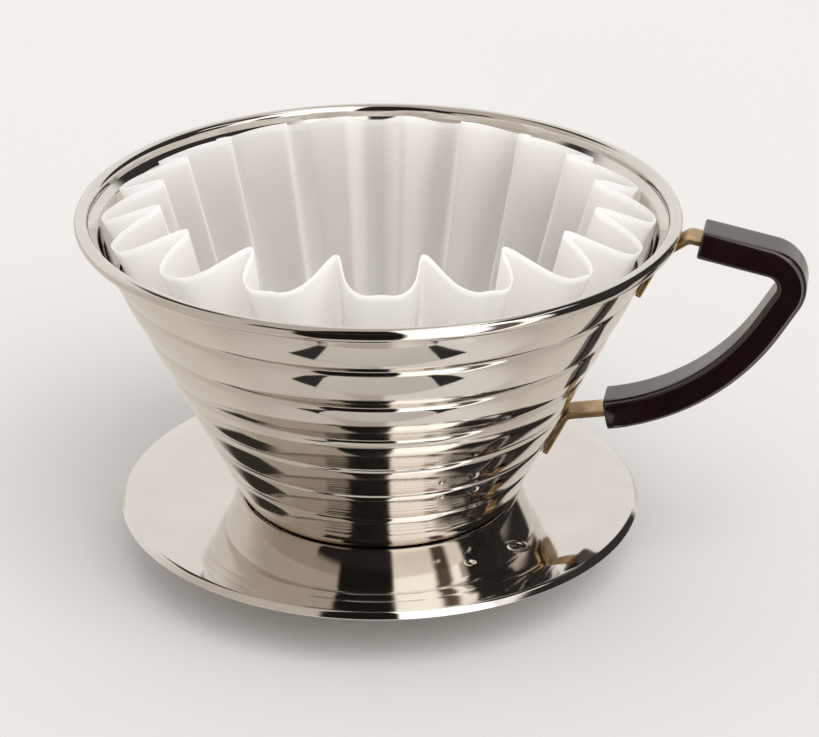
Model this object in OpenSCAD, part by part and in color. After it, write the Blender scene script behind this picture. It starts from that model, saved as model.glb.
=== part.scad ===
// Pour-over coffee dripper: a ribbed, flat-bottomed steel cone on a round base flange,
// with a moulded grip on a bent brass strip and a pleated paper filter.
// Millimetres. Z is up, X points along the handle, and the origin is on the cone's axis
// in the seat plane, where the locating ring's washer rests on a server's mouth.

/* [Cone] */
// Outside diameter of the rolled rim
rim_d = 116; // [112:1:120]
// Radius of the rolled rim's bead
bead_r = 1.35; // [1.2:0.05:1.6]
// Height of the bead's centre above the seat plane
rim_z = 59.3; // [58:0.1:61]
// Outside radius of the straight cone just under the rim
cone_top_r = 54.3; // [54:0.1:54.6]
// Outside radius of the cone's foot, inside the flange's collar
foot_r = 26.3; // [25.5:0.1:27]
// Thickness of the cone's sheet
wall_t = 0.6; // [0.5:0.1:0.8]
// Number of ribs pressed into the cone
ribs = 6; // [4:1:6]
// Height of the first rib's valley above the seat plane
first_valley_z = 49.1; // [48:0.1:50]
// Distance from the first valley to the second
first_pitch = 9.3; // [8.5:0.1:9.5]
// Each pitch as a share of the one above it
pitch_ratio = 0.92; // [0.9:0.01:0.94]
// How far ridges stand out from the straight cone, and valleys stand in
rib_depth = 0.3; // [0.1:0.05:0.4]
// Share of a pitch that the step from a ridge to its valley takes
step_share = 0.4; // [0.3:0.02:0.5]

/* [Drain] */
// Diameter of each drain hole
drain_d = 4.6; // [3:0.2:5]
// Distance of each drain hole from the axis
drain_r = 9; // [8:0.5:11]
// Width of the three raised bars on the floor
bar_w = 3.4; // [3:0.2:4]
// Height of the bars above the floor
bar_h = 1.2; // [0.8:0.1:1.4]

/* [Base] */
// Outside diameter of the base flange
flange_d = 102.8; // [98:0.2:106]
// Thickness of the flange's sheet
flange_t = 0.7; // [0.6:0.1:0.9]
// How far the flange's edge hangs below its flat top
lip_drop = 2.2; // [1.8:0.1:2.4]
// Outside diameter of the locating ring, which drops into the server's mouth
ring_d = 62; // [60:0.5:64]
// Depth of the locating ring below the seat plane
ring_depth = 12; // [8:0.5:14]
// Outside diameter of the locating ring's washer
washer_d = 82; // [80:1:86]
// Thickness of the locating ring's sheet
ring_t = 0.6; // [0.5:0.1:0.8]

/* [Handle] */
// Width of the brass strip
strip_w = 6; // [5:0.2:6.4]
// Thickness of the brass strip
strip_t = 1.1; // [0.9:0.1:1.2]
// Height of the upper tab's lower end
upper_tab_z = 46.3; // [45:0.1:48]
// Height of the lower tab's lower end
lower_tab_z = 11.6; // [10:0.1:13]
// Width of the grip
grip_w = 8.6; // [8:0.2:9]
// Thickness of the grip at its upper end
grip_top_t = 5.5; // [5:0.1:6]
// Thickness of the grip at its lower end
grip_low_t = 6; // [5.6:0.1:6.6]
// Radius of the grip's long edges
grip_edge = 1.1; // [0.8:0.1:1.4]

/* [Filter] */
// Number of pleats in the paper filter
pleats = 18; // [14:1:20]
// Radius of the filter's flat floor
filter_floor_r = 23.9; // [23:0.1:24]
// Length of the paper from the floor's edge to its rim
paper_slant = 65.6; // [60:0.2:66]
// Radius that the outer folds reach at the paper's rim
outer_fold_r = 52.8; // [50:0.2:52.8]
// Radius that the inner folds reach at the paper's rim
inner_fold_r = 42; // [40:0.5:44]
// How far the folds lean inwards on the front side
front_lean = 7; // [0:0.5:8]
// Thickness of the filter's wall, measured along the radius
paper_t = 0.8; // [0.6:0.1:0.8]

/* [Hidden] */
$fn = 96;

// Rim curl and cone
curl_centre = [rim_d / 2 - bead_r, rim_z];
curl_inner_r = bead_r - wall_t;
curl_edge_angle = -100;
curl_step = 20;
curl_top = curl_centre - [curl_inner_r, 0];
curl_foot = curl_top - [0, 1.2];
wall_top = [cone_top_r, rim_z - 2.6];
foot = [foot_r, -0.2];
floor_under_z = -3;
floor_top_z = floor_under_z + wall_t;
foot_bend = 1.4;
rib_round = 1.2;
curl_bend = 0.5;
cone_slope = (wall_top[0] - foot[0]) / (wall_top[1] - foot[1]);
cone_heading = atan(1 / cone_slope);
corner_steps = 3;
bar_reach = foot_r - 8;
bar_end_step = 30;

// Base
flange_top_z = ring_t + flange_t;
collar_gap = 0.1;
collar_low_z = -2.2;
collar_bend = 1.6;
flat_end_r = 46.5;
lip_bend = 1;
flat_bend = 18;
weld_circle_r = 37.5;
// Azimuth and dimple radius of each spot weld; the same set repeats on the opposite side
weld_spots = [[-52, 0.9], [-35.5, 1.75]];
dimple_depth = 0.2;
sink = 0.15;

// Handle
grip_start = [61.7, 58.4];
grip_heading = -11.6;
// Each move of the grip's centre line: straight length, bend radius, clockwise turn
grip_moves = [[13.8, 5, 109], [6.5, 44, 49.5]];
bend_step = 4;
strip_gap = 0.05;
strip_rise = 34;
strip_bend = 1.6;
entry_run = 2.1;
channel_gap = 0.2;
tab_weld_r = 1.1;
ridge_weld_reach = 0.5;
valley_weld_reach = 1;
grip_edge_steps = 3;

// Filter
filter_low_z = floor_top_z + bar_h + 0.3;
filter_floor_t = 0.5;
lean_heading = -80;
pleat_sides = 12;
paper_rings = 5;
// Half-width of an inner fold as a share of its pleat, in front and behind, and how steeply
// its sides rise
fold_share = 0.14;
back_fold_share = 0.2;
fold_steepness = 2.4;
tip_rise = 0.8;
widest_pleat = -92;
// How far the inner folds move round the axis, as shares of sines of one, two and three turns
fold_swing = [9.3, 2.1, 1.5];
fold_skew = 2.65;

// ---- Plane geometry ----

function unit(v) = v / norm(v);

function last(list) = list[len(list) - 1];

// Left-hand normal of the line from p to q
function left_of(p, q) = let (d = unit(q - p)) [-d[1], d[0]];

// Where the line through p at heading a meets the line through q at heading b
function crossing(p, a, q, b) =
    let (
        da = [cos(a), sin(a)],
        db = [cos(b), sin(b)],
        s = cross(q - p, db) / cross(da, db)
    )
    p + s * da;

// An arc of radius r that rounds the corner b of the path a, b, c
function rounded_corner(a, b, c, r, steps) =
    let (
        u = unit(a - b),
        v = unit(c - b),
        half = acos(u * v) / 2,
        centre = b + unit(u + v) * r / sin(half),
        from = b + u * r / tan(half) - centre,
        to = b + v * r / tan(half) - centre,
        a0 = atan2(from[1], from[0]),
        swing = atan2(cross(from, to), from * to)
    )
    [for (k = [0:steps]) centre + r * [cos(a0 + swing * k / steps), sin(a0 + swing * k / steps)]];

// A path with an arc in place of each inner corner
function softened(path, radii) = [
    path[0],
    for (i = [1:len(path) - 2])
        each rounded_corner(path[i - 1], path[i], path[i + 1], radii[i - 1], corner_steps),
    last(path)
];

// Outward shift at point i that keeps a bent sheet equally thick
function shift(path, i) =
    let (
        n0 = left_of(path[max(i - 1, 0)], path[max(i, 1)]),
        n1 = left_of(path[min(i, len(path) - 2)], path[min(i + 1, len(path) - 1)]),
        m = unit(n0 + n1)
    )
    m / (m * n0);

// Outline of a sheet that lies between two distances left of a path
function sheet(path, near, far) = concat(
    [for (i = [0:len(path) - 1]) path[i] + near * shift(path, i)],
    [for (i = [len(path) - 1:-1:0]) path[i] + far * shift(path, i)]
);

// Points of a clockwise bend that starts at p with heading a
function bend(p, a, r, turn) =
    let (c = p + r * [sin(a), -cos(a)], steps = ceil(turn / bend_step))
    [for (k = [1:steps]) c + r * [-sin(a - turn * k / steps), cos(a - turn * k / steps)]];

// Points of a path made of moves: straight length, bend radius, clockwise turn
function route(p, a, moves, i = 0) =
    i >= len(moves) ? [p] :
    let (
        q = p + moves[i][0] * [cos(a), sin(a)],
        arc = bend(q, a, moves[i][1], moves[i][2])
    )
    concat([p, q], [for (k = [0:len(arc) - 2]) arc[k]], route(last(arc), a - moves[i][2], moves, i + 1));

// ---- Cone ----

// Radius of the straight cone that the ribs wave about
function cone_r(z) = foot[0] + cone_slope * (z - foot[1]);

// Height of rib k's valley, and of the ridge above it
function pitch(k) = first_pitch * pow(pitch_ratio, k);
function valley_z(k) = k == 0 ? first_valley_z : valley_z(k - 1) - pitch(k - 1);
function ridge_z(k) = valley_z(k) + step_share * pitch(max(k - 1, 0));

// Outer surface of the cone from the rim down to the middle of its floor
wave_corners = [
    curl_top,
    curl_foot,
    wall_top,
    for (k = [0:ribs - 1]) each [
        [cone_r(ridge_z(k)) + rib_depth, ridge_z(k)],
        [cone_r(valley_z(k)) - rib_depth, valley_z(k)]
    ],
    foot,
    [foot_r, floor_under_z],
    [0, floor_under_z]
];
wave_radii = [
    curl_bend,
    for (i = [2:len(wave_corners) - 3]) rib_round,
    foot_bend
];

// The sheet from the curl's free edge, round the curl and down the cone
cone_path = concat(
    [for (a = [curl_edge_angle:curl_step:179]) curl_centre + curl_inner_r * [cos(a), sin(a)]],
    softened(wave_corners, wave_radii)
);

// Outline of the three bars of the floor, which meet in the middle and have round ends
function star(width) = [
    for (i = [0:2])
        let (a = 60 + 120 * i)
            each [
                width / sqrt(3) * [cos(a - 60), sin(a - 60)],
                for (t = [-90:bar_end_step:90])
                    bar_reach * [cos(a), sin(a)] + width / 2 * [cos(a + t), sin(a + t)]
            ]
];

module cone_body() {
    color("silver")
        difference() {
            union() {
                rotate_extrude()
                    polygon(sheet(cone_path, 0, -wall_t));
                translate([0, 0, floor_top_z - sink])
                    linear_extrude(bar_h + sink)
                        polygon(star(bar_w));
            }
            translate([0, 0, floor_under_z - 1])
                linear_extrude(1 + bar_h)
                    polygon(star(bar_w - 2 * wall_t));
            for (i = [0:2])
                rotate([0, 0, 120 * i])
                    translate([drain_r, 0, floor_under_z - 1])
                        cylinder(d = drain_d, h = 2 + wall_t);
        }
}

// ---- Base ----

flange_mid_z = flange_top_z - flange_t / 2;
flange_corners = [
    [foot_r + collar_gap + flange_t / 2, collar_low_z],
    [foot_r + collar_gap + flange_t / 2, flange_mid_z],
    [flat_end_r, flange_mid_z],
    [flange_d / 2 - 1.2, flange_mid_z - 0.8],
    [flange_d / 2 - flange_t / 2, flange_top_z - lip_drop]
];
flange_path = softened(flange_corners, [collar_bend, flat_bend, lip_bend]);

// Radius of the ball that leaves a dimple of radius r
function ball_r(r) = (r * r + dimple_depth * dimple_depth) / (2 * dimple_depth);

// Stands at one spot weld, the same on both sides of the axis
module at_weld(spot) {
    for (side = [0, 180])
        rotate([0, 0, spot[0] + side])
            translate([weld_circle_r, 0, 0])
                children();
}

module base_flange() {
    color("gainsboro")
        difference() {
            rotate_extrude()
                polygon(sheet(flange_path, flange_t / 2, -flange_t / 2));
            for (spot = weld_spots)
                at_weld(spot)
                    translate([0, 0, flange_top_z + ball_r(spot[1]) - dimple_depth])
                        sphere(ball_r(spot[1]));
        }
}

module locating_ring() {
    color("lightgrey")
        rotate_extrude() {
            translate([ring_d / 2 - ring_t, -ring_depth])
                square([ring_t, ring_depth + ring_t]);
            translate([ring_d / 2 - ring_t, 0])
                square([washer_d / 2 - ring_d / 2 + ring_t, ring_t]);
        }
}

module ring_welds() {
    color("darkgrey")
        for (spot = weld_spots)
            at_weld(spot)
                translate([0, 0, sink])
                    cylinder(r = 0.9 * spot[1], h = ring_t + flange_t - dimple_depth - 2 * sink);
}

// ---- Handle ----

grip_line = route(grip_start, grip_heading, grip_moves);
grip_end_heading = grip_heading - grip_moves[0][2] - grip_moves[1][2];

// Middle of the strip where it lies on the cone's ridges, at height z
function tab_point(z) = [cone_r(z) + rib_depth + strip_gap + strip_t / 2 / sin(cone_heading), z];

entry = grip_start - entry_run * [cos(grip_heading), sin(grip_heading)];
upper_corner = crossing(tab_point(upper_tab_z), cone_heading, entry, strip_rise);
lower_corner = crossing(tab_point(lower_tab_z), cone_heading, last(grip_line), grip_end_heading);
strip_path = concat(
    [tab_point(upper_tab_z)],
    rounded_corner(tab_point(upper_tab_z), upper_corner, entry, strip_bend, corner_steps),
    rounded_corner(upper_corner, entry, grip_start, strip_bend, corner_steps),
    grip_line,
    rounded_corner(last(grip_line), lower_corner, tab_point(lower_tab_z), strip_bend, corner_steps),
    [tab_point(lower_tab_z)]
);

// Stands a flat outline up in the handle's plane, centred on it
module in_handle_plane(width) {
    rotate([90, 0, 0])
        linear_extrude(width, center = true)
            children();
}

module handle_strip() {
    color("darkgoldenrod")
        in_handle_plane(strip_w)
            polygon(sheet(strip_path, strip_t / 2, -strip_t / 2));
}

// Share of the grip's length up to each point of its centre line
grip_steps = [for (i = [1:len(grip_line) - 1]) norm(grip_line[i] - grip_line[i - 1])];
function total(list, n) = n <= 0 ? 0 : list[n - 1] + total(list, n - 1);
grip_length = total(grip_steps, len(grip_steps));
function grip_t(i) =
    grip_top_t + (grip_low_t - grip_top_t) * total(grip_steps, i) / grip_length;

// Rounded rectangle as a loop of points: y across the grip, t through its thickness
function rounded_loop(w, t, r) = [
    for (q = [0:3], k = [0:grip_edge_steps])
        let (
            a = 90 * q + 90 * k / grip_edge_steps,
            sx = (q == 0 || q == 3) ? 1 : -1,
            sy = q < 2 ? 1 : -1
        )
        [sx * (w / 2 - r) + r * cos(a), sy * (t / 2 - r) + r * sin(a)]
];
function plain_loop(w, t) = [[w / 2, t / 2], [-w / 2, t / 2], [-w / 2, -t / 2], [w / 2, -t / 2]];

// Puts a loop across the grip's centre line at its point i
function on_grip(loop, i) =
    let (p = grip_line[i], m = shift(grip_line, i))
    [for (q = loop) [p[0] + m[0] * q[1], q[0], p[1] + m[1] * q[1]]];

// Quads of the skin between ring i and ring i + 1 of loops that hold n points
function skin(rings, n, base) = [
    for (i = [0:rings - 2], j = [0:n - 1])
        let (k = (j + 1) % n)
        each [
            [base + i * n + j, base + i * n + k, base + (i + 1) * n + k],
            [base + i * n + j, base + (i + 1) * n + k, base + (i + 1) * n + j]
        ]
];

function reversed(faces) = [for (f = faces) [f[2], f[1], f[0]]];

// Faces of a flat end between an outer loop of 4 * m points and an inner one of 4
function end_ring(outer, inner, m) = [
    for (q = [0:3]) each concat(
        [for (k = [0:m - 2]) [outer + q * m + k, outer + q * m + k + 1, inner + q]],
        [
            [outer + q * m + m - 1, outer + ((q + 1) * m) % (4 * m), inner + q],
            [inner + q, outer + ((q + 1) * m) % (4 * m), inner + (q + 1) % 4]
        ]
    )
];

module handle_grip() {
    rings = len(grip_line);
    m = grip_edge_steps + 1;
    inner_base = rings * 4 * m;
    points = concat(
        [for (i = [0:rings - 1]) each on_grip(rounded_loop(grip_w, grip_t(i), grip_edge), i)],
        [
            for (i = [0:rings - 1])
                each on_grip(plain_loop(strip_w + 2 * channel_gap, strip_t + 2 * channel_gap), i)
        ]
    );
    faces = concat(
        skin(rings, 4 * m, 0),
        reversed(skin(rings, 4, inner_base)),
        reversed(end_ring(0, inner_base, m)),
        end_ring((rings - 1) * 4 * m, inner_base + (rings - 1) * 4, m)
    );
    color([0.13, 0.08, 0.07])
        polyhedron(points, faces, convexity = 8);
}

// A weld through the strip at height z that reaches into the cone behind it
module tab_weld(z, reach) {
    translate([tab_point(z)[0], 0, z])
        rotate([0, cone_heading - 180, 0])
            translate([0, 0, -strip_t / 2 + sink])
                cylinder(r = tab_weld_r, h = strip_t + reach - sink);
}

// One weld on rib k's ridge and one in its valley
module tab_weld_pair(k) {
    tab_weld(ridge_z(k), ridge_weld_reach);
    tab_weld(valley_z(k), valley_weld_reach);
}

module upper_tab_welds() {
    color("goldenrod")
        tab_weld_pair(0);
}

module lower_tab_welds() {
    color("goldenrod")
        tab_weld_pair(4);
}

// ---- Filter ----

// Turn of inner fold k about the axis: the pleats are wider in front than behind
function fold_angle(k) =
    let (u = k * 360 / pleats)
    widest_pleat + u + fold_swing * [sin(u), sin(2 * u), sin(3 * u)] + fold_skew * (1 - cos(u));

// How much of the lean a direction gets, from 0 behind to 1 in front
function lean(a) = pow(max(0, cos(a - lean_heading)), 2);

// How far the pleat has swung outwards at share s of its width: 0 at inner folds, 1 between
function raw_swell(s, share) = 1 - 1 / (1 + pow(min(s, 1 - s) / share, fold_steepness));
function swell(a, s) =
    let (share = back_fold_share + (fold_share - back_fold_share) * lean(a))
    raw_swell(s, share) / raw_swell(0.5, share);

// Radius of the paper's rim in direction a, at share s of the way along a pleat
function rim_r(a, s) =
    let (
        low = inner_fold_r - front_lean * 0.9 * lean(a),
        high = outer_fold_r - front_lean * lean(a)
    )
    low + (high - low) * swell(a, s);

// A point of the paper: j counts round the pleats, h runs from 0 at the floor to 1 at the rim
function paper_point(j, h, out) =
    let (
        k = floor(j / pleat_sides),
        s = j / pleat_sides - k,
        a = fold_angle(k) + (fold_angle(k + 1) - fold_angle(k)) * s,
        reach = rim_r(a, s) - filter_floor_r,
        slant = paper_slant + tip_rise * (1 - swell(a, s)),
        rise = sqrt(slant * slant - reach * reach),
        r = filter_floor_r + reach * h + out
    )
    [r * cos(a), r * sin(a), filter_low_z + filter_floor_t + rise * h];

module paper_filter() {
    n = pleats * pleat_sides;
    rings = paper_rings;
    heights = [for (i = [0:rings - 1]) i / (rings - 1)];
    inner_base = rings * n;
    under = 2 * rings * n;
    points = concat(
        [for (h = heights, j = [0:n - 1]) paper_point(j, h, paper_t / 2)],
        [for (h = heights, j = [0:n - 1]) paper_point(j, h, -paper_t / 2)],
        [for (j = [0:n - 1]) let (p = paper_point(j, 0, paper_t / 2)) [p[0], p[1], filter_low_z]],
        [[0, 0, filter_low_z], [0, 0, filter_low_z + filter_floor_t]]
    );
    centre = under + n;
    top = (rings - 1) * n;
    faces = concat(
        reversed(skin(rings, n, 0)),
        skin(rings, n, inner_base),
        [
            for (j = [0:n - 1])
                let (k = (j + 1) % n)
                each [
                    [top + j, inner_base + top + k, top + k],
                    [top + j, inner_base + top + j, inner_base + top + k],
                    [under + j, k, under + k],
                    [under + j, j, k],
                    [centre, under + j, under + k],
                    [centre + 1, inner_base + k, inner_base + j]
                ]
        ]
    );
    color("white")
        polyhedron(points, faces, convexity = 10);
}

cone_body();
base_flange();
locating_ring();
ring_welds();
handle_strip();
handle_grip();
upper_tab_welds();
lower_tab_welds();
paper_filter();
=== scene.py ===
"""Looks for a ribbed steel pour-over dripper with a brass-and-resin side handle and a paper filter.

Every length below is in millimetres in the row frame, and turns into metres where Blender gets it.
The frame has +Z up the cone's axis, +X along the handle, and z = 0 at the seat plane.
"""

import math

import bpy
import numpy as np
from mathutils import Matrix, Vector


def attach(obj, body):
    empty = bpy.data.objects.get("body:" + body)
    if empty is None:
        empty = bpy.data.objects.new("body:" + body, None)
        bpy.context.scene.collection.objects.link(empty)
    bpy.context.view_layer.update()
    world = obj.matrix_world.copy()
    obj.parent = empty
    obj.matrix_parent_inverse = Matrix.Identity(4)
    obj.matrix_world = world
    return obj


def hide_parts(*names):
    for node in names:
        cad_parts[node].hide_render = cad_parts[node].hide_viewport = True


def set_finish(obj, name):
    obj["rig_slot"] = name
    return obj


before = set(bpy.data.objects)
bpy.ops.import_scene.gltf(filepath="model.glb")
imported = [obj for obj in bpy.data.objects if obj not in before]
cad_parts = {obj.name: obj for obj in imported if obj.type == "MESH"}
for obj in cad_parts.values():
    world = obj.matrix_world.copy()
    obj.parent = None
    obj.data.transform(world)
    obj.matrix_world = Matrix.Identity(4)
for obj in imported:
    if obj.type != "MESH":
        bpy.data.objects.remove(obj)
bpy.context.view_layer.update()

MM = 0.001
FIXED, LOOSE = "dripper", "filter"

# ---- Driving dimensions, as in the CAD part ----

RIM_R, BEAD_R, RIM_Z = 58.0, 1.35, 59.3
WALL_T = 0.6
CONE_TOP = (54.3, RIM_Z - 2.6)
FOOT = (26.3, -0.2)
FLOOR_UNDER_Z = -3.0
FLOOR_TOP_Z = FLOOR_UNDER_Z + WALL_T
RIBS, FIRST_VALLEY_Z, FIRST_PITCH, PITCH_RATIO = 6, 49.1, 9.3, 0.92
BAR_W, BAR_H, BAR_REACH = 3.4, 1.2, 18.3
DRAIN_R, DRAIN_D = 9.0, 4.6
FLANGE_R, FLANGE_T, LIP_DROP = 51.4, 0.7, 2.2
RING_R, RING_DEPTH, RING_T, WASHER_R = 31.0, 12.0, 0.6, 41.0
FLANGE_TOP_Z = RING_T + FLANGE_T
WELD_CIRCLE_R = 37.5
# Azimuth and radius of the spot welds' marks, the same on opposite sides
WELD_SPOTS = [(a + side, r) for side in (0, 180) for a, r in ((-52.0, 0.9), (-35.5, 1.75))]
STRIP_W, STRIP_T = 6.0, 1.1
UPPER_TAB_Z, LOWER_TAB_Z = 46.3, 11.6
GRIP_W, GRIP_TOP_T, GRIP_LOW_T, GRIP_EDGE = 8.6, 5.5, 6.0, 1.1
GRIP_START, GRIP_HEADING = (61.7, 58.4), -11.6
GRIP_MOVES = [(13.8, 5.0, 109.0), (6.5, 44.0, 49.5)]
STRIP_RISE, STRIP_BEND, ENTRY_RUN = 34.0, 1.6, 2.1
PLEATS, FILTER_FLOOR_R, PAPER_SLANT = 18, 23.9, 65.6
OUTER_FOLD_R, INNER_FOLD_R = 53.8, 42.0


# ---- Plane geometry ----

# Turn between two points of a route's bend, in degrees
BEND_STEP = 3.0


def heading(a):
    return np.array([math.cos(math.radians(a)), math.sin(math.radians(a))])


def left_of(p, q):
    d = (q - p) / np.linalg.norm(q - p)
    return np.array([-d[1], d[0]])


def crossing(p, a, q, b):
    """Where the line through p at heading a meets the line through q at heading b."""
    da, db = heading(a), heading(b)
    w = np.array(q) - np.array(p)
    s = (w[0] * db[1] - w[1] * db[0]) / (da[0] * db[1] - da[1] * db[0])
    return np.array(p) + s * da


def rounded_corner(a, b, c, r, steps=8):
    a, b, c = (np.array(p, float) for p in (a, b, c))
    u, v = (a - b) / np.linalg.norm(a - b), (c - b) / np.linalg.norm(c - b)
    half = math.acos(float(np.clip(u @ v, -1, 1))) / 2
    centre = b + (u + v) / np.linalg.norm(u + v) * r / math.sin(half)
    start, end = b + u * r / math.tan(half) - centre, b + v * r / math.tan(half) - centre
    a0 = math.atan2(start[1], start[0])
    swing = math.atan2(start[0] * end[1] - start[1] * end[0], start @ end)
    return [centre + r * np.array([math.cos(a0 + swing * k / steps), math.sin(a0 + swing * k / steps)])
            for k in range(steps + 1)]


def softened(path, radii, steps=8):
    inner = [p for i in range(1, len(path) - 1)
             for p in rounded_corner(path[i - 1], path[i], path[i + 1], radii[i - 1], steps)]
    return [np.array(path[0], float), *inner, np.array(path[-1], float)]


def finer(path, longest):
    """The path with its long straight stretches split into even steps."""
    out = [path[0]]
    for p, q in zip(path, path[1:]):
        n = max(1, math.ceil(np.linalg.norm(q - p) / longest))
        out += [p + (q - p) * k / n for k in range(1, n + 1)]
    return out


def mitres(path):
    """Way to the left at each point, longer at a corner, so that a sheet keeps its thickness there."""
    out = []
    for i in range(len(path)):
        before = left_of(path[max(i - 1, 0)], path[max(i, 1)])
        after = left_of(path[min(i, len(path) - 2)], path[min(i + 1, len(path) - 1)])
        middle = (before + after) / np.linalg.norm(before + after)
        out.append(middle / (middle @ before))
    return out


def offset(path, distance):
    """Points moved to the path's left by the same sheet distance all along."""
    return [p + distance * m for p, m in zip(path, mitres(path))]


def fine_ends(path, near, longest):
    """The path in even steps, with extra points at the near distances from both of its ends."""
    start = (path[1] - path[0]) / np.linalg.norm(path[1] - path[0])
    end = (path[-2] - path[-1]) / np.linalg.norm(path[-2] - path[-1])
    return [path[0], *[path[0] + start * d for d in near], *finer(path[1:-1], longest),
            *[path[-1] + end * d for d in near[::-1]], path[-1]]


def route(p, a, moves):
    """A path made of moves: straight length, bend radius, clockwise turn."""
    p = np.array(p, float)
    out = [p]
    for length, r, turn in moves:
        q = p + length * heading(a)
        centre = q + r * np.array([math.sin(math.radians(a)), -math.cos(math.radians(a))])
        steps = math.ceil(turn / BEND_STEP)
        turns = [math.radians(a - turn * k / steps) for k in range(steps + 1)]
        out += [centre + r * np.array([-math.sin(t), math.cos(t)]) for t in turns]
        p, a = out[-1], a - turn
    return out


# ---- Mesh making ----

def make(name, verts_mm, faces, body, slot, replaces=(), sharp=35.0):
    mesh = bpy.data.meshes.new(name)
    mesh.from_pydata((np.asarray(verts_mm) * MM).tolist(), [], [tuple(f) for f in faces])
    mesh.validate()
    mesh.update()
    mesh.polygons.foreach_set("use_smooth", [True] * len(mesh.polygons))
    mesh.set_sharp_from_angle(angle=math.radians(sharp))
    obj = bpy.data.objects.new(name, mesh)
    bpy.context.scene.collection.objects.link(obj)
    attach(obj, body)
    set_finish(obj, slot)
    if replaces:
        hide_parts(*replaces)
    return obj


def grid_faces(rows, columns, close_rows=False):
    """Quads of a grid that closes along its rows, whose vertex (i, j) is number i * columns + j."""
    i = np.arange(rows if close_rows else rows - 1)[:, None]
    j = np.arange(columns)[None, :]
    i2, j2 = (i + 1) % rows, (j + 1) % columns
    quads = np.stack([i * columns + j, i * columns + j2, i2 * columns + j2, i2 * columns + j], -1)
    return quads.reshape(-1, 4).tolist()


def ripple(angle, z, size, seed):
    """Slow, shallow unevenness of pressed sheet, in millimetres. It closes round the axis."""
    rng = np.random.default_rng(seed)
    total = np.zeros(np.broadcast(angle, z).shape)
    for turns in (2, 3, 5, 8, 13):
        for _ in range(2):
            phase, drift = rng.uniform(0, 2 * math.pi), rng.uniform(-0.25, 0.25)
            total = total + np.sin(turns * angle + drift * z + phase) / turns ** 0.7
    return size * total / 3


def lathe(name, outline, angles, slot, replaces, uneven, seed, press=None):
    """Turns a closed outline of (r, z) points about the axis. press(x, y, z) gives a drop in z."""
    points = np.array(outline)
    a = np.radians(np.asarray(angles))[:, None]
    r = points[None, :, 0] + ripple(a, points[None, :, 1], uneven, seed)
    z = np.broadcast_to(points[None, :, 1], r.shape)
    x, y = r * np.cos(a), r * np.sin(a)
    if press is not None:
        z = z - press(x, y, z)
    verts = np.stack([x, y, z], -1).reshape(-1, 3)
    faces = grid_faces(len(angles), len(points), close_rows=True)
    return make(name, verts, faces, FIXED, slot, replaces)


def even_angles(n):
    return np.arange(n) * 360.0 / n


def nuggets(name, spots, profile, around, slot, node):
    """Closed round buttons, where welds show. A spot is its centre, two ways across it and its way out.

    The profile has the radius and the height of each ring, from the middle outwards.
    """
    verts, faces = [], []
    for centre, across, along, out in spots:
        base = len(verts)
        for r, lift in profile:
            verts += [centre + out * lift + r * (heading(t)[0] * across + heading(t)[1] * along)
                      for t in even_angles(around)]
        faces += [[base + v for v in f[::-1]] for f in grid_faces(len(profile), around)]
        faces += [list(range(base, base + around)), list(range(len(verts) - around, len(verts)))[::-1]]
    return make(name, verts, faces, FIXED, slot, [node])


def sheet_outline(path, near, far):
    return [*offset(path, near), *offset(path, far)[::-1]]


# ---- Cone ----

CONE_SLOPE = (CONE_TOP[0] - FOOT[0]) / (CONE_TOP[1] - FOOT[1])
CONE_HEADING = math.degrees(math.atan(1 / CONE_SLOPE))
RIB_BULGE = 0.34
GROOVE_DEPTH, GROOVE_HALF = 0.2, 0.55
# How far a band's middle line lies inside the straight cone
RIB_MIDDLE = 0.1
# Drops below a valley that get a point of their own, and the even points between two such groups
VALLEY_DROPS = [0.0, 0.15, 0.32, 0.52, 0.75, 1.05, 1.5]
BAND_MARGIN, BAND_POINTS = 2.1, 7
RIDGE_SHARE = 0.4
# The neck under the curl: its drops below the curl's middle, its bends, and the rib point it joins
NECK_DROPS, NECK_BENDS, NECK_JOIN = (0.4, 1.2), (0.6, 0.8), 4
FOOT_BENDS = (0.4, 1.4)
FLOOR_JOIN_R, FLOOR_OVERLAP, FLOOR_STEP = 23.5, 0.05, 0.3
# A bar's side slopes over this width, and starts this far outside the bar's edge
BAR_SLOPE, BAR_SPREAD = 0.6, 0.25
DRAIN_SIDES, DRAIN_CUT_Z = 48, (-5.0, 1.0)


def cone_r(z):
    return FOOT[0] + CONE_SLOPE * (z - FOOT[1])


def valley_z(k):
    return FIRST_VALLEY_Z - sum(FIRST_PITCH * PITCH_RATIO ** i for i in range(k))


def ridge_z(k):
    return valley_z(k) + RIDGE_SHARE * FIRST_PITCH * PITCH_RATIO ** max(k - 1, 0)


def rib_line():
    """Outer wall from its top to the foot: bands that bulge a little, with a groove between."""
    ends = [CONE_TOP[1], *[valley_z(k) for k in range(RIBS)], FOOT[1]]
    points = []
    for i, (top, low) in enumerate(zip(ends, ends[1:])):
        span = top - low
        drops = [*VALLEY_DROPS, *np.linspace(BAND_MARGIN, span - BAND_MARGIN, BAND_POINTS),
                 *[span - d for d in VALLEY_DROPS[:0:-1]]]
        first, final = i == 0, i == len(ends) - 2
        for d in drops:
            u = 2 * d / span - 1
            bulge = RIB_BULGE * (1 - u * u) * span / FIRST_PITCH
            groove = 0.0
            if not first:
                groove += GROOVE_DEPTH * math.exp(-(d / GROOVE_HALF) ** 2)
            if not final:
                groove += GROOVE_DEPTH * math.exp(-((span - d) / GROOVE_HALF) ** 2)
            z = top - d
            points.append(np.array([cone_r(z) + bulge - groove - RIB_MIDDLE, z]))
    return points


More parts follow.
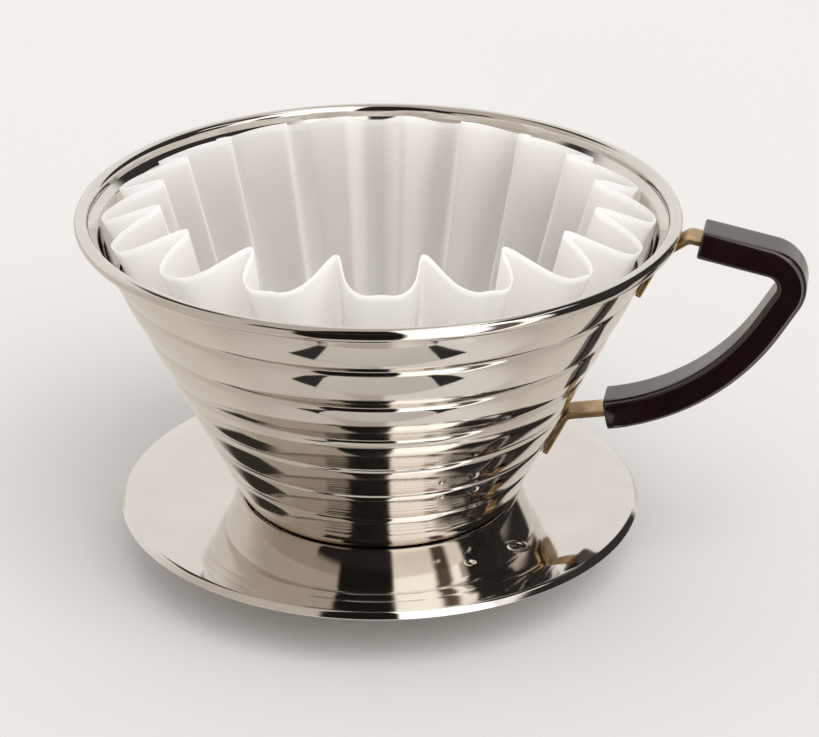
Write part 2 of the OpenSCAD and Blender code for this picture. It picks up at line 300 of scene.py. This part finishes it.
def cone_wall():
    curl_centre = np.array([RIM_R - BEAD_R, RIM_Z])
    curl_r = BEAD_R - WALL_T
    curl = [curl_centre + curl_r * heading(a) for a in range(-100, 171, 10)]
    top = curl_centre - np.array([curl_r, 0])
    ribs = rib_line()
    neck = softened([*[top - [0, d] for d in NECK_DROPS], ribs[0], ribs[NECK_JOIN]], NECK_BENDS, 5)
    low = [FOOT, (FOOT[0], FLOOR_UNDER_Z), (FLOOR_JOIN_R, FLOOR_UNDER_Z)]
    foot = softened([ribs[-1], *low], FOOT_BENDS, 7)
    path = [*curl, top, *neck[:-1], *ribs[NECK_JOIN + 1:], *foot[1:]]
    outline = sheet_outline(path, 0, -WALL_T)
    return lathe("cone_wall", outline, even_angles(400), "polished_steel", ["cone_body"],
                 uneven=0.02, seed=3)


def star_height(x, y, width):
    """How high the three bars stand at a point: BAR_H on top, and 0 beside them."""
    away = np.full(np.broadcast(x, y).shape, np.inf)
    for a in (60, 180, 300):
        ux, uy = heading(a)
        along = np.clip(x * ux + y * uy, 0, BAR_REACH)
        away = np.minimum(away, np.hypot(x - along * ux, y - along * uy))
    t = np.clip((width / 2 + BAR_SPREAD - away) / BAR_SLOPE, 0, 1)
    return BAR_H * t * t * (3 - 2 * t)


def drain_cutter(k):
    """A drum that cuts drain hole k out of the floor."""
    centre = DRAIN_R * heading(120 * k)
    loop = [[*(centre + DRAIN_D / 2 * heading(t))] for t in even_angles(DRAIN_SIDES)]
    verts = [[x, y, z] for z in DRAIN_CUT_Z for x, y in loop]
    side = grid_faces(2, DRAIN_SIDES)
    ends = [list(range(DRAIN_SIDES))[::-1], list(range(DRAIN_SIDES, 2 * DRAIN_SIDES))]
    mesh = bpy.data.meshes.new("drain_cut")
    mesh.from_pydata((np.array(verts) * MM).tolist(), [], [*side, *ends])
    cutter = bpy.data.objects.new("drain_cut", mesh)
    bpy.context.scene.collection.objects.link(cutter)
    return cutter


def cone_floor():
    """The pressed floor: raised bars, hollow from below, and three drain holes."""
    radii = np.array([FLOOR_STEP / 2, *np.arange(1.5 * FLOOR_STEP, FLOOR_JOIN_R, FLOOR_STEP),
                      FLOOR_JOIN_R + FLOOR_OVERLAP])
    a = np.radians(even_angles(300))[None, :]
    x, y = radii[:, None] * np.cos(a), radii[:, None] * np.sin(a)
    top = np.stack([x, y, FLOOR_TOP_Z + star_height(x, y, BAR_W)], -1).reshape(-1, 3)
    under = np.stack([x, y, FLOOR_UNDER_Z + star_height(x, y, BAR_W - 2 * WALL_T)], -1).reshape(-1, 3)
    rows, n = x.shape
    base, last = rows * n, (rows - 1) * n
    faces = [f[::-1] for f in grid_faces(rows, n)]
    faces += [[base + v for v in f] for f in grid_faces(rows, n)]
    faces += [[last + (j + 1) % n, last + j, base + last + j, base + last + (j + 1) % n] for j in range(n)]
    faces += [list(range(n)), [base + j for j in range(n)][::-1]]
    floor = make("cone_floor", np.vstack([top, under]), faces, FIXED, "polished_steel", sharp=50)
    for k in range(3):
        cutter = drain_cutter(k)
        drill = floor.modifiers.new("drain", "BOOLEAN")
        drill.operation, drill.object, drill.solver = "DIFFERENCE", cutter, "EXACT"
        bpy.context.view_layer.objects.active = floor
        bpy.ops.object.modifier_apply(modifier=drill.name)
        bpy.data.objects.remove(cutter)
    floor.data.polygons.foreach_set("use_smooth", [True] * len(floor.data.polygons))
    floor.data.set_sharp_from_angle(angle=math.radians(50))
    return floor


# ---- Base ----

# Longest straight step along a sheet's outline
SHEET_STEP = 1.5
COLLAR_GAP, COLLAR_LOW_Z, COLLAR_BEND = 0.1, -2.2, 1.6
# Where the plate starts to droop, how far it has come down near its edge, and the droop's radius
DROOP_R, DROOP, DROOP_BEND = 46.5, 0.8, 18.0
EDGE_SLOPE, EDGE_BEND = 1.2, 1.0
# Points lie close together this far in and out from the weld circle, and this far round from a weld
WELD_BAND, WELD_BAND_STEP = 2.8, 0.14
WELD_ARC, WELD_ARC_STEP = 4.2, 0.2
DIMPLE_DEPTH = 0.26
# A dimple's lip: where it is and how wide, in dimple radii, its height, and where it has ended
LIP_PLACE, LIP_WIDTH, LIP_HEIGHT, LIP_END = 1.15, 0.2, 0.04, 2.4
# A point that is less than this under the flange's flat top is on the top
TOP_MARGIN = 0.05
RING_BEND = 1.0


def weld_press(x, y, z):
    """Electrode marks on the flange's top: a round dish with a slightly raised lip."""
    drop = np.zeros(np.broadcast(x, y).shape)
    for a, radius in WELD_SPOTS:
        wx, wy = WELD_CIRCLE_R * heading(a)
        d = np.hypot(x - wx, y - wy) / radius
        lip = LIP_HEIGHT * np.exp(-((d - LIP_PLACE) / LIP_WIDTH) ** 2)
        drop += np.where(d < LIP_END, DIMPLE_DEPTH * (1 - np.clip(d, 0, 1) ** 3) - lip, 0)
    return drop * (z > FLANGE_TOP_Z - TOP_MARGIN)


def weld_fine_angles():
    """Angles round the axis, close together at the spot welds."""
    arc = np.arange(-WELD_ARC, WELD_ARC + 0.01, WELD_ARC_STEP)
    near = {round((a + d) % 360, 3) for a, _ in WELD_SPOTS for d in arc}
    rest = {round(a, 3) for a in np.arange(0, 360, 1.0)
            if min(abs((a - w + 180) % 360 - 180) for w, _ in WELD_SPOTS) > WELD_ARC + WELD_ARC_STEP}
    return sorted(near | rest)


def base_flange():
    mid = FLANGE_TOP_Z - FLANGE_T / 2
    collar_r = FOOT[0] + COLLAR_GAP + FLANGE_T / 2
    corners = [(collar_r, COLLAR_LOW_Z), (collar_r, mid), (DROOP_R, mid),
               (FLANGE_R - EDGE_SLOPE, mid - DROOP), (FLANGE_R - FLANGE_T / 2, FLANGE_TOP_Z - LIP_DROP)]
    path = softened([np.array(c) for c in corners], [COLLAR_BEND, DROOP_BEND, EDGE_BEND], 10)
    band = np.arange(WELD_CIRCLE_R - WELD_BAND, WELD_CIRCLE_R + WELD_BAND + 0.01, WELD_BAND_STEP)
    near_welds = [np.array([r, mid]) for r in band]
    inner = [p for p in path if p[0] < band[0]]
    outer = [p for p in path if p[0] > band[-1]]
    path = [*finer([*inner, near_welds[0]], SHEET_STEP), *near_welds[1:],
            *finer([near_welds[-1], *outer], SHEET_STEP)[1:]]
    outline = sheet_outline(path, FLANGE_T / 2, -FLANGE_T / 2)
    return lathe("base_flange_plate", outline, weld_fine_angles(), "polished_steel", ["base_flange"],
                 uneven=0.012, seed=11, press=weld_press)


def locating_ring():
    """An L-shaped ring under the flange, with rounded edges."""
    inner = RING_R - RING_T
    corners = [(inner + RING_T / 2, -RING_DEPTH), (inner + RING_T / 2, RING_T / 2), (WASHER_R, RING_T / 2)]
    path = finer(softened([np.array(c) for c in corners], [RING_BEND]), SHEET_STEP)
    outline = sheet_outline(path, RING_T / 2, -RING_T / 2)
    return lathe("locating_ring_band", outline, even_angles(300), "satin_steel", ["locating_ring"],
                 uneven=0.01, seed=17)


def ring_weld_marks():
    """Nuggets of the spot welds, as they show on the washer's underside."""
    bulge, sunk, edge_r, inside = 0.1, 0.02, 1.5, 0.5
    profile = [(r, bulge * (1 - (r / edge_r) ** 2) - sunk) for r in (0.02, 0.5, 0.9, 1.2, edge_r)]
    x, y, z = np.eye(3)
    spots = [(np.array([*(WELD_CIRCLE_R * heading(a)), 0.0]), y, x, -z) for a, _ in WELD_SPOTS]
    return nuggets("ring_weld_nuggets", spots, [*profile, (edge_r, -inside)], 28, "satin_steel", "ring_welds")


# ---- Handle ----

# Longest step along each, and how far from its ends it has extra points
STRIP_STEP, STRIP_NEAR_END = 0.6, [0.05, 0.15, 0.3, 0.5, 0.8, 1.2, 1.6]
GRIP_STEP, GRIP_NEAR_END = 0.8, [0.06, 0.14, 0.25, 0.4]
STRIP_EDGE, STRIP_CORNER = 0.24, 1.5
# The strip's end is this share of its thickness, and has all of it this far in
STRIP_END_SHARE, STRIP_END_ROUND = 0.55, 0.3
# How round the grip's end is, and how much of that its edges lose
GRIP_END_ROUND, GRIP_EDGE_LOSS = 0.4, 0.8
# From the straight cone to the tabs: the ridges' height and a hair's gap
TAB_GAP = 0.35


def sweep(name, path, section, slot, node, sharp=35.0):
    """Sweeps a closed outline along a path in the handle's plane, with flat ends.

    section(edge, share) gives the outline's points, across the plane and to the path's left, where
    the nearer end of the path is edge away and this share of the path is behind.
    """
    lengths = np.concatenate([[0], np.cumsum([np.linalg.norm(q - p) for p, q in zip(path, path[1:])])])
    whole = lengths[-1]
    verts = [[p[0] + m[0] * t, y, p[1] + m[1] * t]
             for p, m, length in zip(path, mitres(path), lengths)
             for y, t in section(min(length, whole - length), length / whole)]
    rows = len(path)
    n = len(verts) // rows
    caps = [list(range(n))[::-1], list(range((rows - 1) * n, rows * n))]
    piece = make(name, verts, [*grid_faces(rows, n), *caps], FIXED, slot, [node], sharp)
    for cap in piece.data.polygons[-2:]:
        cap.use_smooth = False
    return piece


def end_pull(edge, r):
    """How far an outline is drawn in at edge from an end that is rounded to radius r."""
    return r - math.sqrt(r ** 2 - max(r - edge, 0) ** 2)


def rounded_box(w, t, r, corner_steps=4, side_steps=6):
    """Loop of points round a rounded rectangle, with points along its long sides."""
    loop = []
    for q, (sx, sy) in enumerate(((1, 1), (-1, 1), (-1, -1), (1, -1))):
        for k in range(corner_steps + 1):
            a = math.radians(90 * q + 90 * k / corner_steps)
            loop.append((sx * (w / 2 - r) + r * math.cos(a), sy * (t / 2 - r) + r * math.sin(a)))
        if q in (0, 2):
            for k in range(1, side_steps):
                y = sx * (w / 2 - r) * (1 - 2 * k / side_steps)
                loop.append((y, sy * t / 2))
    return loop


def handle_paths():
    grip = route(GRIP_START, GRIP_HEADING, GRIP_MOVES)
    end_heading = GRIP_HEADING - sum(m[2] for m in GRIP_MOVES)

    def tab(z):
        return np.array([cone_r(z) + TAB_GAP + STRIP_T / 2 / math.sin(math.radians(CONE_HEADING)), z])

    entry = grip[0] - ENTRY_RUN * heading(GRIP_HEADING)
    upper = crossing(tab(UPPER_TAB_Z), CONE_HEADING, entry, STRIP_RISE)
    lower = crossing(tab(LOWER_TAB_Z), CONE_HEADING, grip[-1], end_heading)
    strip = [tab(UPPER_TAB_Z), *rounded_corner(tab(UPPER_TAB_Z), upper, entry, STRIP_BEND),
             *rounded_corner(upper, entry, grip[0], STRIP_BEND), *grip,
             *rounded_corner(grip[-1], lower, tab(LOWER_TAB_Z), STRIP_BEND), tab(LOWER_TAB_Z)]
    return grip, strip


def brass_strip():
    _, path = handle_paths()

    def section(edge, _):
        pull = end_pull(edge, STRIP_CORNER)
        full = min(1, edge / STRIP_END_ROUND) ** 0.5
        thick = STRIP_T * (STRIP_END_SHARE + (1 - STRIP_END_SHARE) * full)
        return rounded_box(STRIP_W - 2 * pull, thick, STRIP_EDGE)

    return sweep("brass_strip", fine_ends(path, STRIP_NEAR_END, STRIP_STEP), section,
                 "strip_brass", "handle_strip")


def tab_weld_marks(name, rib, node):
    """Shallow round nuggets where the strip's tab is welded to a rib's ridge and valley."""
    up = heading(CONE_HEADING)
    along, out, across = np.array([up[0], 0, up[1]]), np.array([up[1], 0, -up[0]]), np.array([0, 1, 0])
    face = TAB_GAP + STRIP_T / up[1]
    spots = [(np.array([cone_r(z) + face, 0, z]), across, along, out) for z in (ridge_z(rib), valley_z(rib))]
    profile = [(0.03, 0.02), (0.35, 0.02), (0.6, 0.05), (0.8, 0.12), (0.95, 0.1), (1.1, 0.0), (1.15, -0.25)]
    return nuggets(name, spots, profile, 32, "strip_brass", node)


def resin_grip():
    path, _ = handle_paths()

    def section(edge, share):
        thick = GRIP_TOP_T + (GRIP_LOW_T - GRIP_TOP_T) * share
        pull = end_pull(edge, GRIP_END_ROUND)
        return rounded_box(GRIP_W - 2 * pull, thick - 2 * pull, GRIP_EDGE - GRIP_EDGE_LOSS * pull, 6, 8)

    return sweep("resin_grip", fine_ends(path, GRIP_NEAR_END, GRIP_STEP), section,
                 "grip_resin", "handle_grip", sharp=60)


# ---- Paper filter ----

FILTER_GAP, FLOOR_LIFT, FOOT_LIFT, WALL_LIFT = 0.3, 0.15, 0.28, 0.5
FILTER_LOW_Z = FLOOR_TOP_Z + BAR_H + FILTER_GAP
PAPER_T = 0.18
PAPER_RIPPLE, RIPPLE_SPAN = 0.16, 60.0
# The paper leans inwards round one heading, its inner folds a little less, and their tips rise
LEAN_HEADING, FRONT_LEAN, RIDGE_LEAN, TIP_RISE = -80.0, 8.0, 0.9, 0.8
# Heading of the first fold, and how far the folds are moved round from even steps, in degrees
FOLD_START, FOLD_SWING, FOLD_SKEW = -92.0, (9.3, 2.1, 1.5), 2.65
# Share of a pleat that a fold takes, what the lean takes off it, and the fold's steepness
FOLD_SHARE, FOLD_TIGHTEN, FOLD_POWER = 0.2, 0.06, 2.4
# The dent in the middle of each outer flat
DENT, DENT_WIDTH = 0.07, 0.09


def fold_angle(k):
    u = np.radians(k * 360 / PLEATS)
    swing = sum(size * np.sin((i + 1) * u) for i, size in enumerate(FOLD_SWING))
    return FOLD_START + np.degrees(u) + swing + FOLD_SKEW * (1 - np.cos(u))


def fold_swell(s, share):
    """Reach between the inner folds, 0, and the outer ones, 1: narrow round ridges and wide flats."""
    def rise(away):
        return 1 - 1 / (1 + (away / share) ** FOLD_POWER)

    return rise(np.minimum(s, 1 - s)) / rise(0.5) - DENT * np.exp(-((s - 0.5) / DENT_WIDTH) ** 2)


def paper_surface(sides, rows):
    """Centre surface of the pleated wall, as arrays of x, y and z."""
    j = np.arange(PLEATS * sides)
    k, s = j // sides, (j % sides) / sides
    a = fold_angle(k) + (fold_angle(k + 1) - fold_angle(k)) * s
    lean = np.maximum(0, np.cos(np.radians(a - LEAN_HEADING))) ** 2
    low = INNER_FOLD_R - FRONT_LEAN * RIDGE_LEAN * lean
    high = OUTER_FOLD_R - FRONT_LEAN * lean
    swell = fold_swell(s, FOLD_SHARE - FOLD_TIGHTEN * lean)
    reach = low + (high - low) * swell - FILTER_FLOOR_R
    rise = np.sqrt((PAPER_SLANT + TIP_RISE * (1 - swell)) ** 2 - reach ** 2)
    h = np.linspace(0, 1, rows)[:, None]
    r = FILTER_FLOOR_R + reach[None, :] * h
    angle = np.radians(a)[None, :]
    r = r + h * ripple(angle, RIPPLE_SPAN * h, PAPER_RIPPLE, seed=5)
    z = FILTER_LOW_Z + WALL_LIFT + rise[None, :] * h
    return r * np.cos(angle), r * np.sin(angle), z


def paper_filter():
    sides, rows = 28, 44
    x, y, z = paper_surface(sides, rows)
    n = x.shape[1]
    wall = np.stack([x, y, z], -1)
    # Floor: rings from the middle outwards that close the wall's foot, at these shares of its radius
    levels = [(share, FLOOR_LIFT) for share in (0.01, 0.1, 0.3, 0.5, 0.7, 0.85, 0.95)] + [(0.985, FOOT_LIFT)]
    rings = [np.stack([x[0] * share, y[0] * share, np.full(n, FILTER_LOW_Z + lift)], -1)
             for share, lift in levels]
    surface = np.concatenate([np.array(rings), wall])
    faces = [f[::-1] for f in grid_faces(len(surface), n)]
    faces.append(list(range(n)))
    paper = make("filter_paper_cup", surface.reshape(-1, 3), faces, LOOSE, "filter_paper", ["paper_filter"],
                 sharp=80)
    solid = paper.modifiers.new("thickness", "SOLIDIFY")
    solid.thickness, solid.offset = PAPER_T * MM, 0.0
    return paper


# ---- Materials ----

class Shader:
    """A Principled material whose inputs are driven by small chains of texture nodes."""

    def __init__(self, name, **values):
        self.material = bpy.data.materials.new(name)
        self.material.use_nodes = True
        self.tree = self.material.node_tree
        self.bsdf = self.tree.nodes["Principled BSDF"]
        for key, value in values.items():
            self.bsdf.inputs[key.replace("_", " ")].default_value = value
        self.place = self.node("ShaderNodeTexCoord").outputs["Object"]

    def node(self, kind, **settings):
        made = self.tree.nodes.new(kind)
        for key, value in settings.items():
            if hasattr(made, key):
                setattr(made, key, value)
            else:
                made.inputs[key.replace("_", " ")].default_value = value
        return made

    def link(self, a, b):
        self.tree.links.new(a, b)

    def noise(self, scale, detail=2.0, roughness=0.5, stretch=(1, 1, 1)):
        place = self.place
        if stretch != (1, 1, 1):
            mapping = self.node("ShaderNodeMapping")
            mapping.inputs["Scale"].default_value = stretch
            self.link(place, mapping.inputs["Vector"])
            place = mapping.outputs["Vector"]
        made = self.node("ShaderNodeTexNoise", Scale=scale, Detail=detail, Roughness=roughness)
        self.link(place, made.inputs["Vector"])
        return made.outputs["Fac"]

    def range(self, value, low, high, start=0.3, end=0.7):
        made = self.node("ShaderNodeMapRange", From_Min=start, From_Max=end, To_Min=low, To_Max=high)
        self.link(value, made.inputs["Value"])
        return made.outputs["Result"]

    def blend(self, factor, a, b):
        made = self.node("ShaderNodeMix", data_type="RGBA")
        self.link(factor, made.inputs[0])
        for socket, value in ((6, a), (7, b)):
            if isinstance(value, tuple):
                made.inputs[socket].default_value = (*value, 1)
            else:
                self.link(value, made.inputs[socket])
        return made.outputs[2]

    def bump(self, height, depth_mm, under=None):
        made = self.node("ShaderNodeBump", Strength=1.0, Distance=depth_mm * MM)
        self.link(height, made.inputs["Height"])
        if under is not None:
            self.link(under, made.inputs["Normal"])
        return made.outputs["Normal"]

    def finish(self, colour=None, rough=None, normal=None):
        for value, socket in ((colour, "Base Color"), (rough, "Roughness"), (normal, "Normal")):
            if value is not None:
                self.link(value, self.bsdf.inputs[socket])
        return self.material


def polished_steel():
    s = Shader("polished_steel", Metallic=1.0)
    cloud = s.noise(90, 3)
    smear = s.noise(60, 4, 0.6, (1, 1, 6))
    colour = s.blend(s.range(cloud, 0, 1), (0.74, 0.70, 0.655), (0.69, 0.65, 0.605))
    rough = s.range(smear, 0.03, 0.085)
    normal = s.bump(s.noise(1400, 2, 0.5, (1, 1, 8)), 0.0006)
    return s.finish(colour, rough, normal)


def satin_steel():
    s = Shader("satin_steel", Metallic=1.0)
    colour = s.blend(s.range(s.noise(120, 3), 0, 1), (0.62, 0.60, 0.57), (0.54, 0.52, 0.49))
    rough = s.range(s.noise(900, 3, 0.6, (1, 1, 0.05)), 0.22, 0.38)
    normal = s.bump(s.noise(2600, 2, 0.5, (1, 1, 0.05)), 0.004)
    return s.finish(colour, rough, normal)


def strip_brass():
    s = Shader("strip_brass", Metallic=1.0)
    tarnish = s.noise(170, 5, 0.65)
    colour = s.blend(s.range(tarnish, 0, 1, 0.35, 0.65), (0.63, 0.44, 0.235), (0.39, 0.26, 0.13))
    rough = s.range(s.noise(420, 4, 0.6), 0.24, 0.5)
    normal = s.bump(s.noise(1500, 3, 0.6), 0.012)
    return s.finish(colour, rough, normal)


def grip_resin():
    s = Shader("grip_resin", Specular_IOR_Level=1.0, Specular_Tint=(1.0, 0.91, 0.86, 1.0))
    colour = s.blend(s.range(s.noise(140, 4), 0, 1), (0.012, 0.0045, 0.004), (0.008, 0.0035, 0.003))
    rough = s.range(s.noise(260, 4, 0.6), 0.08, 0.18)
    normal = s.bump(s.noise(420, 2), 0.008)
    return s.finish(colour, rough, normal)


def filter_paper():
    s = Shader("filter_paper", Subsurface_Weight=0.8, Subsurface_Radius=(1.0, 1.0, 1.0),
               Subsurface_Scale=3 * MM, Specular_IOR_Level=0.2)
    fibre = s.noise(1500, 6, 0.7)
    cloud = s.noise(110, 4, 0.6)
    colour = s.blend(s.range(cloud, 0, 1), (0.985, 0.96, 0.93), (0.97, 0.937, 0.90))
    rough = s.range(fibre, 0.82, 0.96)
    crepe = s.bump(s.noise(520, 3, 0.55, (1, 1, 0.35)), 0.05)
    normal = s.bump(fibre, 0.02, under=crepe)
    return s.finish(colour, rough, normal)


def floor_surface():
    s = Shader("pale_floor", Roughness=0.9, Specular_IOR_Level=0.0)
    colour = s.blend(s.range(s.noise(3, 3), 0, 1), (0.70, 0.692, 0.684), (0.685, 0.677, 0.669))
    return s.finish(colour, None, s.bump(s.noise(300, 4), 0.05))


# ---- Build ----

PIECES = [cone_wall(), cone_floor(), base_flange(), locating_ring(), ring_weld_marks(), brass_strip(),
          tab_weld_marks("upper_tab_nuggets", 0, "upper_tab_welds"),
          tab_weld_marks("lower_tab_nuggets", 4, "lower_tab_welds"),
          resin_grip(), paper_filter()]
MATERIALS = {"polished_steel": polished_steel(), "satin_steel": satin_steel(), "strip_brass": strip_brass(),
             "grip_resin": grip_resin(), "filter_paper": filter_paper()}
for piece in PIECES:
    piece.data.materials.clear()
    piece.data.materials.append(MATERIALS[piece["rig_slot"]])


# ---- Stage, light and camera ----

# Half the floor's side, and how far it lies under the dripper
STAGE_HALF, STAGE_GAP = 6000.0, 0.05
CAMERA_AZIMUTH, CAMERA_ELEVATION, CAMERA_DISTANCE = 10.0, 25.11, 587.45
CAMERA_TARGET = (5.80, 1.02, 26.36)
CAMERA_LENS = 131.87

# What matt surfaces see all round, and what glossy ones see where no panel is
SKY = (0.93, 0.90, 0.878)
STUDIO_WALL = (0.95, 0.935, 0.915)
# Azimuth range from the camera's side, its softness, elevation range, its softness, colour
WORLD_PANELS = [
    (-400, 400, 1, -95, -3, 4, (0.72, 0.67, 0.61)),
    (-105, 110, 20, -90, 95, 8, (0.60, 0.55, 0.50)),
    (-400, 400, 1, 52, 95, 12, (0.57, 0.52, 0.475)),
    (-400, 400, 1, -95, -60, 6, (0.68, 0.63, 0.58)),
    (-45, 10, 10, -95, -60, 6, (0.52, 0.46, 0.41)),
    (10, 110, 5, -95, -60, 6, (0.86, 0.82, 0.79)),
    (-150, -108, 3, 41, 62, 4, (0.05, 0.043, 0.038)),
    (10, 60, 1.5, -58, 80, 8, (1.7, 1.68, 1.62)),
    (10, 60, 1.5, 30, 64, 4, (2.1, 2.15, 2.2)),
    (57, 69, 2, 2, 30, 3, (1.6, 1.58, 1.55)),
    (-30, 10, 1.5, -58, 80, 6, (0.012, 0.01, 0.009)),
    (-50, 8, 2, 22, 42, 2, (0.03, 0.026, 0.023)),
    (41, 53, 2.5, -50, 32, 4, (0.16, 0.12, 0.10)),
    (65, 104, 2, -30, 66, 2, (0.03, 0.027, 0.025)),
    (58, 150, 3, 69, 86, 2, (1.4, 1.39, 1.37)),
    (56, 90, 2, 38, 46, 1.5, (1.2, 1.18, 1.15)),
    (90, 140, 3, -5, 62, 5, (0.04, 0.036, 0.034)),
]


def stage_floor():
    mesh = bpy.data.meshes.new("stage_floor")
    half, z = STAGE_HALF * MM, -(RING_DEPTH + STAGE_GAP) * MM
    corners = [(-half, -half, z), (half, -half, z), (half, half, z), (-half, half, z)]
    mesh.from_pydata(corners, [], [(0, 1, 2, 3)])
    floor = bpy.data.objects.new("stage_floor", mesh)
    bpy.context.scene.collection.objects.link(floor)
    floor.data.materials.append(floor_surface())
    floor.visible_glossy = False


def studio_world():
    """An even sky for matt surfaces, and pale and dark panels by direction for glossy ones."""
    world = bpy.data.worlds.new("studio")
    bpy.context.scene.world = world
    world.use_nodes = True
    tree = world.node_tree
    new, link = tree.nodes.new, tree.links.new
    background = tree.nodes["Background"]
    direction = new("ShaderNodeTexCoord").outputs["Generated"]
    split = new("ShaderNodeSeparateXYZ")
    link(direction, split.inputs[0])

    def math_node(operation, *values):
        made = new("ShaderNodeMath")
        made.operation = operation
        for socket, value in zip(made.inputs, values):
            if isinstance(value, (int, float)):
                socket.default_value = value
            else:
                link(value, socket)
        return made.outputs[0]

    # Angle round from the camera's side, positive to its right, in degrees
    turned = math.radians(CAMERA_AZIMUTH)
    right = math_node("ADD", math_node("MULTIPLY", split.outputs[0], math.cos(turned)),
                      math_node("MULTIPLY", split.outputs[1], math.sin(turned)))
    toward = math_node("SUBTRACT", math_node("MULTIPLY", split.outputs[0], math.sin(turned)),
                       math_node("MULTIPLY", split.outputs[1], math.cos(turned)))
    azimuth = math_node("MULTIPLY", math_node("ARCTAN2", right, toward), 180 / math.pi)
    elevation = math_node("MULTIPLY", math_node("ARCSINE", split.outputs[2]), 180 / math.pi)

    def step(value, at, soft):
        made = new("ShaderNodeMapRange")
        made.interpolation_type = "SMOOTHSTEP"
        made.inputs["From Min"].default_value = at - soft
        made.inputs["From Max"].default_value = at + soft
        link(value, made.inputs["Value"])
        return made.outputs["Result"]

    def window(value, low, high, soft):
        return math_node("SUBTRACT", step(value, low, soft), step(value, high, soft))

    def laid_over(under, mask, rgb):
        mix = new("ShaderNodeMix")
        mix.data_type = "RGBA"
        link(mask, mix.inputs[0])
        if isinstance(under, tuple):
            mix.inputs[6].default_value = (*under, 1)
        else:
            link(under, mix.inputs[6])
        mix.inputs[7].default_value = (*rgb, 1)
        return mix.outputs[2]

    colour = STUDIO_WALL
    for low, high, soft, bottom, top, lift, rgb in WORLD_PANELS:
        mask = math_node("MULTIPLY", window(azimuth, low, high, soft), window(elevation, bottom, top, lift))
        colour = laid_over(colour, mask, rgb)
    seen = new("ShaderNodeMix")
    seen.data_type = "RGBA"
    link(new("ShaderNodeLightPath").outputs["Is Glossy Ray"], seen.inputs[0])
    seen.inputs[6].default_value = (*SKY, 1)
    link(colour, seen.inputs[7])
    link(seen.outputs[2], background.inputs["Color"])
    background.inputs["Strength"].default_value = 1.0


def key_light():
    """A very soft light from above and from the camera's right. Steel doesn't mirror it."""
    data = bpy.data.lights.new("key_light", "SUN")
    data.energy, data.angle, data.color = 1.45, math.radians(50), (1.0, 0.985, 0.97)
    light = bpy.data.objects.new("key_light", data)
    bpy.context.scene.collection.objects.link(light)
    light.rotation_euler = Vector((-0.5, 0.6, -1.0)).to_track_quat("-Z", "Y").to_euler()
    light.visible_glossy = False


def card(name, across_near, across_far, near, far, lift, shades):
    """A flat card in front, just over the floor, that shows in reflections only.

    It lies between the distances near and far from the axis, and across_near and across_far are
    half its widths there.
    """
    a = math.radians(CAMERA_AZIMUTH)
    corners = [(-across_near, -near), (across_near, -near), (across_far, -far), (-across_far, -far)]
    verts = [((x * math.cos(a) - y * math.sin(a)) * MM, (x * math.sin(a) + y * math.cos(a)) * MM,
              (lift - RING_DEPTH) * MM) for x, y in corners]
    mesh = bpy.data.meshes.new(name)
    mesh.from_pydata(verts, [], [(0, 1, 2, 3)])
    made = bpy.data.objects.new(name, mesh)
    bpy.context.scene.collection.objects.link(made)
    s = Shader(name, Roughness=0.8)
    made.data.materials.append(s.finish(s.blend(s.noise(40), *shades)))
    for kind in ("camera", "diffuse", "shadow", "transmission"):
        setattr(made, "visible_" + kind, False)


def camera():
    a, e = math.radians(CAMERA_AZIMUTH), math.radians(CAMERA_ELEVATION)
    back = Vector((math.sin(a) * math.cos(e), -math.cos(a) * math.cos(e), math.sin(e)))
    data = bpy.data.cameras.new("camera")
    data.lens, data.sensor_width = CAMERA_LENS, 36.0
    data.clip_start, data.clip_end = 20 * MM, 50000 * MM
    cam = bpy.data.objects.new("camera", data)
    bpy.context.scene.collection.objects.link(cam)
    cam.location = Vector(CAMERA_TARGET) * MM + back * CAMERA_DISTANCE * MM
    cam.rotation_mode = "QUATERNION"
    cam.rotation_quaternion = (-back).to_track_quat("-Z", "Y")
    bpy.context.scene.camera = cam


stage_floor()
studio_world()
key_light()
card("dark_card", 40, 30, 57, 78, 0.3, ((0.012, 0.011, 0.011), (0.02, 0.018, 0.018)))
card("pale_card", 27, 25, 57, 80, 0.6, ((0.62, 0.61, 0.58), (0.55, 0.54, 0.51)))
camera()
bpy.context.scene.view_settings.view_transform = "Standard"
